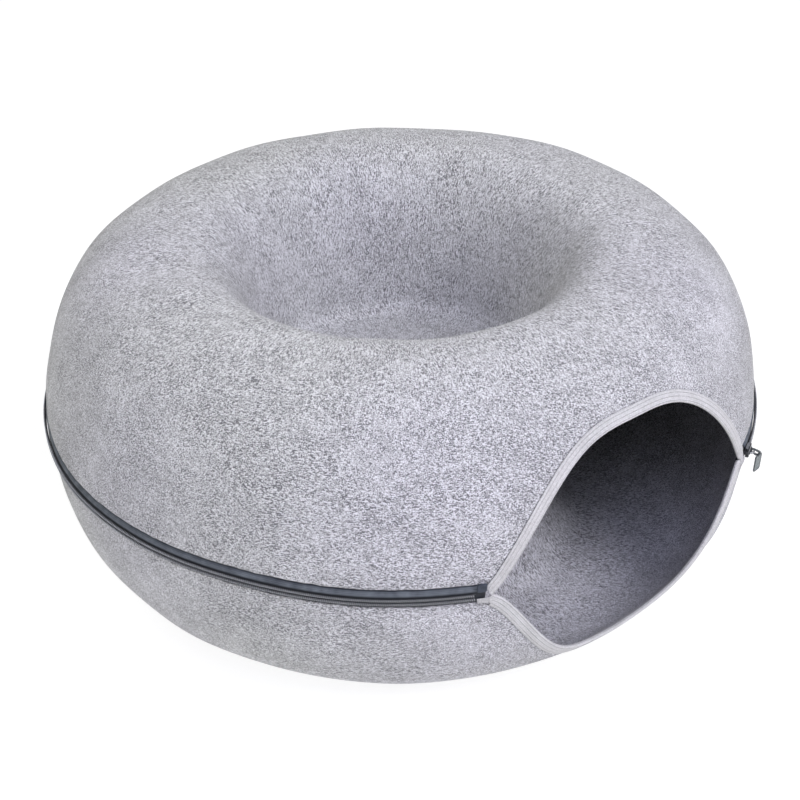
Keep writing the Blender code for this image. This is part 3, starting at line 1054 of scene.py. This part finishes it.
def zipCoil(name, side, look, material):
    # nylon wire wound in a flattened helix along the edge of its tape, with a cord inside it
    start, end = look["coilStart"], math.tau - look["coilEnd"]
    turns = int((end - start) * look["coilRadius"] / look["coilPitch"])
    wound = np.arange(turns * look["pointsPerTurn"] + 1) / look["pointsPerTurn"]
    phase = math.tau * wound + (math.pi if side < 0 else 0)
    turn = start + (end - start) * wound / turns
    radius = look["coilRadius"] + look["coilDepth"] * np.sin(phase)
    middle = bedShape["zipHeight"] + side * look["coilSpacing"] / 2 + zipWave(turn)
    height = middle + look["coilHalfHeight"] * np.cos(phase)

    def along(turn):
        angle = bedShape["entranceTurn"] + turn
        return stacked(np.cos(angle), np.sin(angle), 0.0)

    path = ringPoints(turn, radius, height)
    wire = tubeAlong(name, path, look["wire"], look["wireSides"], along(turn))
    corePath = ringPoints(turn[::12], look["coilRadius"], middle[::12])
    core = tubeAlong(name + "_core", corePath, look["coreRadius"], 6, (0, 0, 1))
    # painted shade: the back of each turn and the cord inside are dark, so that the turns stand
    # apart
    behind = np.clip(0.5 - 1.1 * np.sin(phase), 0, 1)
    setAttribute(wire, "dark", np.repeat(behind, look["wireSides"]))
    setAttribute(core, "dark", 1.0)
    return finishMesh(name, joinMeshes(name, [wire, core]), material, close=False)


for key, shell in shells.items():
    finish = twillFinish(key + "_tape_finish", twillLook, twillLook["underCoil"][key])
    name = key + "_zip_tape"
    tape, width, length = zipTape(name, shell, profiles[key], zipPiece, finish)
    install(tape, "zip_tape", key + "_tape")
    nylon = hardFinish(key + "_nylon", nylonLook)
    coil = zipCoil(key + "_zip_coil", shell["side"], zipPiece, nylon)
    install(coil, "zip_coil", key + "_coil")
    print(key, "zip half made, coil faces", len(coil.data.polygons))


tapeFoldPiece = {
    "turn": math.radians(-27.6),
    "radius": 0.3018,
    "up": 0.0075,
    "half": (0.0036, 0.0007, 0.0042),
    "power": 0.35,
    "lean": math.radians(9.0),
    "beside": 0.0050,
}


def standAt(mesh, turn, up):
    # a mesh modelled in front of the axis (along the zip, -Y outwards, up) taken to its place
    place = Matrix.Translation((0.0, 0.0, bedShape["zipHeight"] + float(zipWave(turn)) + up))
    mesh.transform(place @ Matrix.Rotation(bedShape["entranceTurn"] + turn, 4, "Z"))
    return mesh


def tapeFoldMesh(name, look):
    # the tape's folded end, leant back on the felt, with its map along the zip and up
    lean = Matrix.Rotation(look["lean"], 3, "X")
    mesh = pillowMesh(name, (0.0, -look["radius"], 0.0), look["half"], look["power"], lean)
    spots = np.empty(len(mesh.vertices) * 3)
    mesh.vertices.foreach_get("co", spots)
    setMap(mesh, spots.reshape(-1, 3)[:, [0, 2]])
    setAttribute(mesh, "beside", look["beside"])
    return standAt(mesh, look["turn"], look["up"])


foldFinish = twillFinish("tape_fold_finish", twillFoldLook, 0.0)
foldMesh = tapeFoldMesh("upper_tape_fold", tapeFoldPiece)
install(finishMesh("upper_tape_fold", foldMesh, foldFinish), "zip_tape")
print("folded tape end made")


sliderPiece = {
    "turn": math.radians(28.8),
    "length": 0.0110,
    "height": 0.0086,
    "plate": 0.0012,
    "crownShare": (0.9, 0.82),
    "rimShare": 0.42,
    "coilTop": 0.3035,
    "rearHalf": 0.0034,
    "rearFace": 0.2987,
    "postLength": 0.0022,
    "postHalf": 0.0017,
    "postSink": 0.0005,
    "bailHalf": 0.0033,
    "bailRise": 0.0034,
    "bailRadius": 0.00075,
    "bailSink": 0.0004,
    "bailSquare": 0.7,
    "flange": 0.0006,
    "flangeDepth": 0.0013,
    "flangeSink": 0.0009,
    "flangeShare": 0.86,
    # the lower its power, the more box-like a form is
    "plateSquare": 0.28,
    "postSquare": 0.35,
    "flangeSquare": 0.4,
    "foot": ((0.0012, 0.0006, 0.0015), 0.6),
    "footOut": 0.0001,
    # how far the rims, rear plate, post and feet are darkened, as painted shade
    "darkness": 0.85,
}
pullPiece = {
    "linkHalf": 0.0019,
    "linkLength": 0.0075,
    "bailClear": 0.0014,
    "linkWire": 0.00075,
    "linkTilt": math.radians(-20.0),
    "linkSquare": 0.6,
    "tabHalf": (0.0046, 0.00042, 0.0082),
    "rimWire": 0.00062,
    "rimCorner": 0.0016,
    "turn": math.radians(-20.0),
    "lean": math.radians(3.0),
    "ridges": 4,
    "ridgeFrom": 0.0005,
    "ridgePitch": 0.0009,
    "ridge": ((0.0011, 0.0003, 0.0010), 0.7),
    "tabSquare": 0.16,
    "tabInset": 0.6,
    "heel": ((0.0022, 0.0011, 0.0011), 0.5),
    "heelDrop": 0.0006,
    "hangFrom": (0.0006, -0.0002),
    "darkness": 0.55,
}
sliderLook = {
    "pale": (0.46, 0.47, 0.49, 1.0),
    "deep": (0.22, 0.225, 0.24, 1.0),
    # painted shade on the slider's rims, rear plate, post and feet
    "dark": (0.012, 0.013, 0.017, 1.0),
    "scale": 700.0,
    "gloss": (0.28, 0.45),
    "metallic": 0.6,
}
pullLook = dict(
    sliderLook, pale=(0.24, 0.27, 0.28, 1.0), deep=(0.12, 0.14, 0.15, 1.0),
    dark=(0.020, 0.023, 0.027, 1.0),
)


def sliderMesh(name, look):
    # crowned front plate, rear plate, nose post and side flanges, with an arched bail on top;
    # the rims and the post are darker than the plate and the bail, as painted shade
    half, tall = look["length"] / 2, look["height"] / 2
    top, thick, rimThick = look["coilTop"], look["plate"] / 2, look["plate"] * look["rimShare"]
    post, flange = look["postLength"] / 2, look["flange"] / 2
    front = top + look["plate"]
    deep = top - look["rearFace"]
    square = look["plateSquare"]
    crown = (half * look["crownShare"][0], thick, tall * look["crownShare"][1])
    pale = [pillowMesh("front", (0, -top - thick, 0), crown, square)]
    dark = [
        pillowMesh("rim", (0, -top - rimThick, 0), (half, rimThick, tall), square),
        pillowMesh("rear", (0, thick - look["rearFace"], 0),
                   (half, thick, look["rearHalf"]), square),
        pillowMesh("post", (post - half, deep / 2 - top, 0),
                   (post, deep / 2 + look["postSink"], look["postHalf"]), look["postSquare"]),
    ]
    for side in (-1, 1):
        middle = (0.0, -top + look["flangeSink"], side * (tall - flange))
        size = (half * look["flangeShare"], look["flangeDepth"], flange)
        pale.append(pillowMesh("flange", middle, size, look["flangeSquare"]))
        foot = (side * look["bailHalf"], -front - look["footOut"], 0)
        dark.append(pillowMesh("foot", foot, *look["foot"]))
    swing = np.linspace(math.pi, 0, 22)
    path = stacked(
        look["bailHalf"] * signedPower(np.cos(swing), look["bailSquare"]),
        -front + look["bailSink"] - look["bailRise"] * np.sin(swing) ** look["bailSquare"],
        0.0,
    )
    pale.append(tubeAlong("bail", path, look["bailRadius"], 12, (0, 0, 1)))
    for mesh in pale + dark:
        setAttribute(mesh, "dark", look["darkness"] if mesh in dark else 0.0)
    return standAt(joinMeshes(name, pale + dark), look["turn"], 0.0)


def pullMesh(name, slider, look):
    # an oval link threaded on the bail, ridged at its far end, and a tab with a raised rim
    bailOut = slider["coilTop"] + slider["plate"] + slider["bailRise"]
    near = bailOut - slider["bailRadius"] - look["bailClear"] - look["linkWire"]
    far = near + look["linkLength"]
    turn = np.linspace(0, math.tau, 40, endpoint=False)
    middle, halfLong = (near + far) / 2, (look["linkLength"] - look["linkWire"]) / 2
    oval = stacked(
        0.0,
        -middle - halfLong * signedPower(np.cos(turn), look["linkSquare"]),
        look["linkHalf"] * signedPower(np.sin(turn), look["linkSquare"]),
    )
    link = [tubeAlong("link", oval, look["linkWire"], 10, (1, 0, 0), closed=True)]
    for ridge in range(look["ridges"]):
        out = far - look["ridgeFrom"] - ridge * look["ridgePitch"]
        for side in (-1, 1):
            place = (0, -out, side * look["linkHalf"])
            link.append(pillowMesh("ridge", place, *look["ridge"]))
    tilt = Matrix.Translation((0.0, -bailOut, 0.0)) @ Matrix.Rotation(-look["linkTilt"], 4, "X")
    tilt = tilt @ Matrix.Translation((0.0, bailOut, 0.0))
    end = tilt @ Vector((0.0, look["hangFrom"][0] - far, look["hangFrom"][1]))
    for mesh in link:
        mesh.transform(tilt)

    wide, thick, tall = look["tabHalf"]
    corner, inset = look["rimCorner"], look["rimWire"]
    rim = []
    for start, (x, z) in enumerate(((1, 1), (-1, 1), (-1, -1), (1, -1))):
        arc = np.linspace(start, start + 1, 7) * math.pi / 2
        rim.append(stacked(
            x * (wide - inset - corner) + corner * np.cos(arc),
            0.0,
            z * (tall - inset - corner) + corner * np.sin(arc),
        ))
    rim = np.concatenate(rim)
    inner = inset * look["tabInset"]
    tab = [
        pillowMesh("tab", (0, 0, 0), (wide - inner, thick, tall - inner), look["tabSquare"]),
        tubeAlong("rim", rim, look["rimWire"], 10, (0, 1, 0), closed=True),
        pillowMesh("heel", (0, 0, tall - look["heelDrop"]), *look["heel"]),
    ]
    hang = Matrix.Rotation(look["turn"], 4, "Z") @ Matrix.Rotation(look["lean"], 4, "X")
    hang = Matrix.Translation(end) @ hang @ Matrix.Translation((0.0, 0.0, -tall))
    for mesh in tab:
        mesh.transform(hang)
    for mesh in link + tab:
        setAttribute(mesh, "dark", 0.0 if mesh == tab[0] else look["darkness"])
    return standAt(joinMeshes(name, link + tab), slider["turn"], 0.0)


sliderMetal = hardFinish("slider_metal", sliderLook)
pullMetal = hardFinish("pull_metal", pullLook)
slider = finishMesh("zip_slider", sliderMesh("zip_slider", sliderPiece), sliderMetal)
install(slider, "slider", "slider_body")
pull = finishMesh("zip_pull", pullMesh("zip_pull", sliderPiece, pullPiece), pullMetal)
install(pull, "pull", "slider_pull")
print("slider and pull made")
